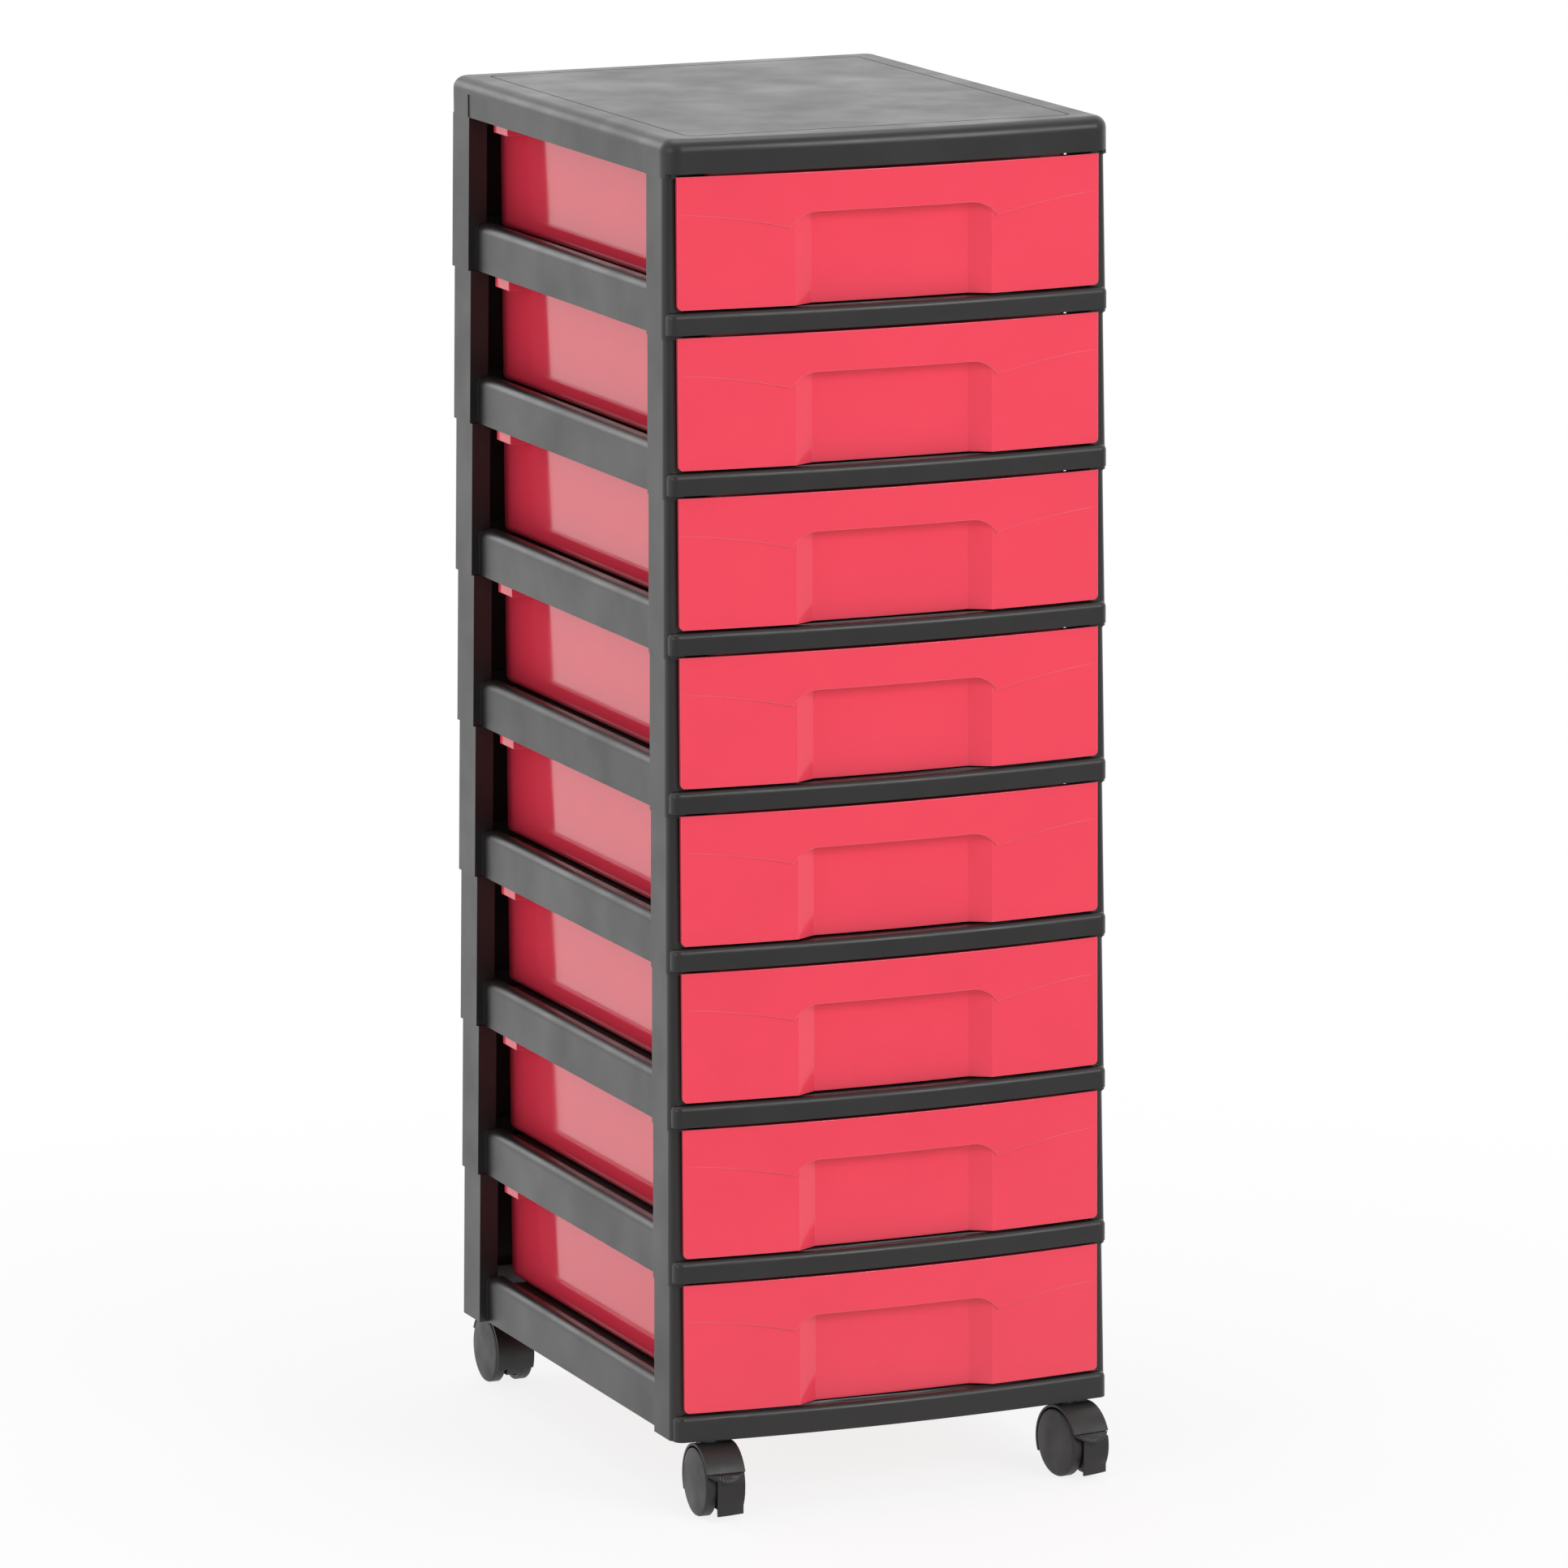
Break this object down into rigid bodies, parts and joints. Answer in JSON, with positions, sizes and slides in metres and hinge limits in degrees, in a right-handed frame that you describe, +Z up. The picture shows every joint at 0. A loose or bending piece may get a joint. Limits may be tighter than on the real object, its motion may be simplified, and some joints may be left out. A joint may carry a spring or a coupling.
{
  "type": "drawer tower",
  "caption": "Tall narrow tower of stacked plastic frames with bowed sliding drawers, open sides, a shallow top cover and twin-wheel casters.",
  "frame": {"origin": "centre of the footprint at floor level", "axes": "+Z up, the drawers open along -Y, +X to the right of someone facing the drawers"},
  "size_m": [0.3, 0.4224, 0.872],
  "materials": {
    "frame": "satin black moulded plastic",
    "drawer": "glossy translucent red moulded plastic",
    "caster": "black moulded plastic",
    "pin": "plain steel"
  },
  "bodies": {
    "tower": {"top_cover": "frame", "frame_1": "frame", "frame_2": "frame", "frame_3": "frame", "frame_4": "frame", "frame_5": "frame", "frame_6": "frame", "frame_7": "frame", "frame_8": "frame", "stem_fl": "pin", "stem_fr": "pin", "stem_rl": "pin", "stem_rr": "pin"},
    "drawer_1": {"drawer_1": "drawer"},
    "drawer_2": {"drawer_2": "drawer"},
    "drawer_3": {"drawer_3": "drawer"},
    "drawer_4": {"drawer_4": "drawer"},
    "drawer_5": {"drawer_5": "drawer"},
    "drawer_6": {"drawer_6": "drawer"},
    "drawer_7": {"drawer_7": "drawer"},
    "drawer_8": {"drawer_8": "drawer"},
    "caster_fl": {"hood_fl": "caster", "axle_fl": "pin"},
    "wheel_fl_l": {"wheel_fl_l": "caster"},
    "wheel_fl_r": {"wheel_fl_r": "caster"},
    "brake_fl": {"brake_fl": "caster"},
    "caster_fr": {"hood_fr": "caster", "axle_fr": "pin"},
    "wheel_fr_l": {"wheel_fr_l": "caster"},
    "wheel_fr_r": {"wheel_fr_r": "caster"},
    "brake_fr": {"brake_fr": "caster"},
    "caster_rl": {"hood_rl": "caster", "axle_rl": "pin"},
    "wheel_rl_l": {"wheel_rl_l": "caster"},
    "wheel_rl_r": {"wheel_rl_r": "caster"},
    "caster_rr": {"hood_rr": "caster", "axle_rr": "pin"},
    "wheel_rr_l": {"wheel_rr_l": "caster"},
    "wheel_rr_r": {"wheel_rr_r": "caster"}
  },
  "joints": [
    {"name": "drawer_1_slide", "type": "slide", "parent": "tower", "child": "drawer_1", "axis": [0, -1, 0], "range_m": [0, 0.29]},
    {"name": "drawer_2_slide", "type": "slide", "parent": "tower", "child": "drawer_2", "axis": [0, -1, 0], "range_m": [0, 0.29]},
    {"name": "drawer_3_slide", "type": "slide", "parent": "tower", "child": "drawer_3", "axis": [0, -1, 0], "range_m": [0, 0.29]},
    {"name": "drawer_4_slide", "type": "slide", "parent": "tower", "child": "drawer_4", "axis": [0, -1, 0], "range_m": [0, 0.29]},
    {"name": "drawer_5_slide", "type": "slide", "parent": "tower", "child": "drawer_5", "axis": [0, -1, 0], "range_m": [0, 0.29]},
    {"name": "drawer_6_slide", "type": "slide", "parent": "tower", "child": "drawer_6", "axis": [0, -1, 0], "range_m": [0, 0.29]},
    {"name": "drawer_7_slide", "type": "slide", "parent": "tower", "child": "drawer_7", "axis": [0, -1, 0], "range_m": [0, 0.29]},
    {"name": "drawer_8_slide", "type": "slide", "parent": "tower", "child": "drawer_8", "axis": [0, -1, 0], "range_m": [0, 0.29]},
    {"name": "swivel_fl", "type": "hinge", "parent": "tower", "child": "caster_fl", "pos_m": [-0.123, -0.17541, 0.0447], "axis": [0, 0, 1], "continuous": true},
    {"name": "roll_fl_l", "type": "hinge", "parent": "caster_fl", "child": "wheel_fl_l", "pos_m": [-0.12331, -0.1844, 0.022], "axis": [0.9994, -0.0349, 0], "continuous": true},
    {"name": "roll_fl_r", "type": "hinge", "parent": "caster_fl", "child": "wheel_fl_r", "pos_m": [-0.12331, -0.1844, 0.022], "axis": [0.9994, -0.0349, 0], "continuous": true},
    {"name": "pedal_fl", "type": "hinge", "parent": "caster_fl", "child": "brake_fl", "pos_m": [-0.12414, -0.20797, 0.029], "axis": [0.9994, -0.0349, 0], "range_deg": [-30, 0]},
    {"name": "swivel_fr", "type": "hinge", "parent": "tower", "child": "caster_fr", "pos_m": [0.123, -0.17541, 0.0447], "axis": [0, 0, 1], "continuous": true},
    {"name": "roll_fr_l", "type": "hinge", "parent": "caster_fr", "child": "wheel_fr_l", "pos_m": [0.12425, -0.18432, 0.022], "axis": [0.9903, 0.1392, 0], "continuous": true},
    {"name": "roll_fr_r", "type": "hinge", "parent": "caster_fr", "child": "wheel_fr_r", "pos_m": [0.12425, -0.18432, 0.022], "axis": [0.9903, 0.1392, 0], "continuous": true},
    {"name": "pedal_fr", "type": "hinge", "parent": "caster_fr", "child": "brake_fr", "pos_m": [0.12754, -0.20767, 0.029], "axis": [0.9903, 0.1392, 0], "range_deg": [-30, 0]},
    {"name": "swivel_rl", "type": "hinge", "parent": "tower", "child": "caster_rl", "pos_m": [-0.123, 0.17859, 0.0447], "axis": [0, 0, 1], "continuous": true},
    {"name": "roll_rl_l", "type": "hinge", "parent": "caster_rl", "child": "wheel_rl_l", "pos_m": [-0.123, 0.18759, 0.022], "axis": [1, 0, 0], "continuous": true},
    {"name": "roll_rl_r", "type": "hinge", "parent": "caster_rl", "child": "wheel_rl_r", "pos_m": [-0.123, 0.18759, 0.022], "axis": [1, 0, 0], "continuous": true},
    {"name": "swivel_rr", "type": "hinge", "parent": "tower", "child": "caster_rr", "pos_m": [0.123, 0.17859, 0.0447], "axis": [0, 0, 1], "continuous": true},
    {"name": "roll_rr_l", "type": "hinge", "parent": "caster_rr", "child": "wheel_rr_l", "pos_m": [0.123, 0.18759, 0.022], "axis": [1, 0, 0], "continuous": true},
    {"name": "roll_rr_r", "type": "hinge", "parent": "caster_rr", "child": "wheel_rr_r", "pos_m": [0.123, 0.18759, 0.022], "axis": [1, 0, 0], "continuous": true}
  ]
}
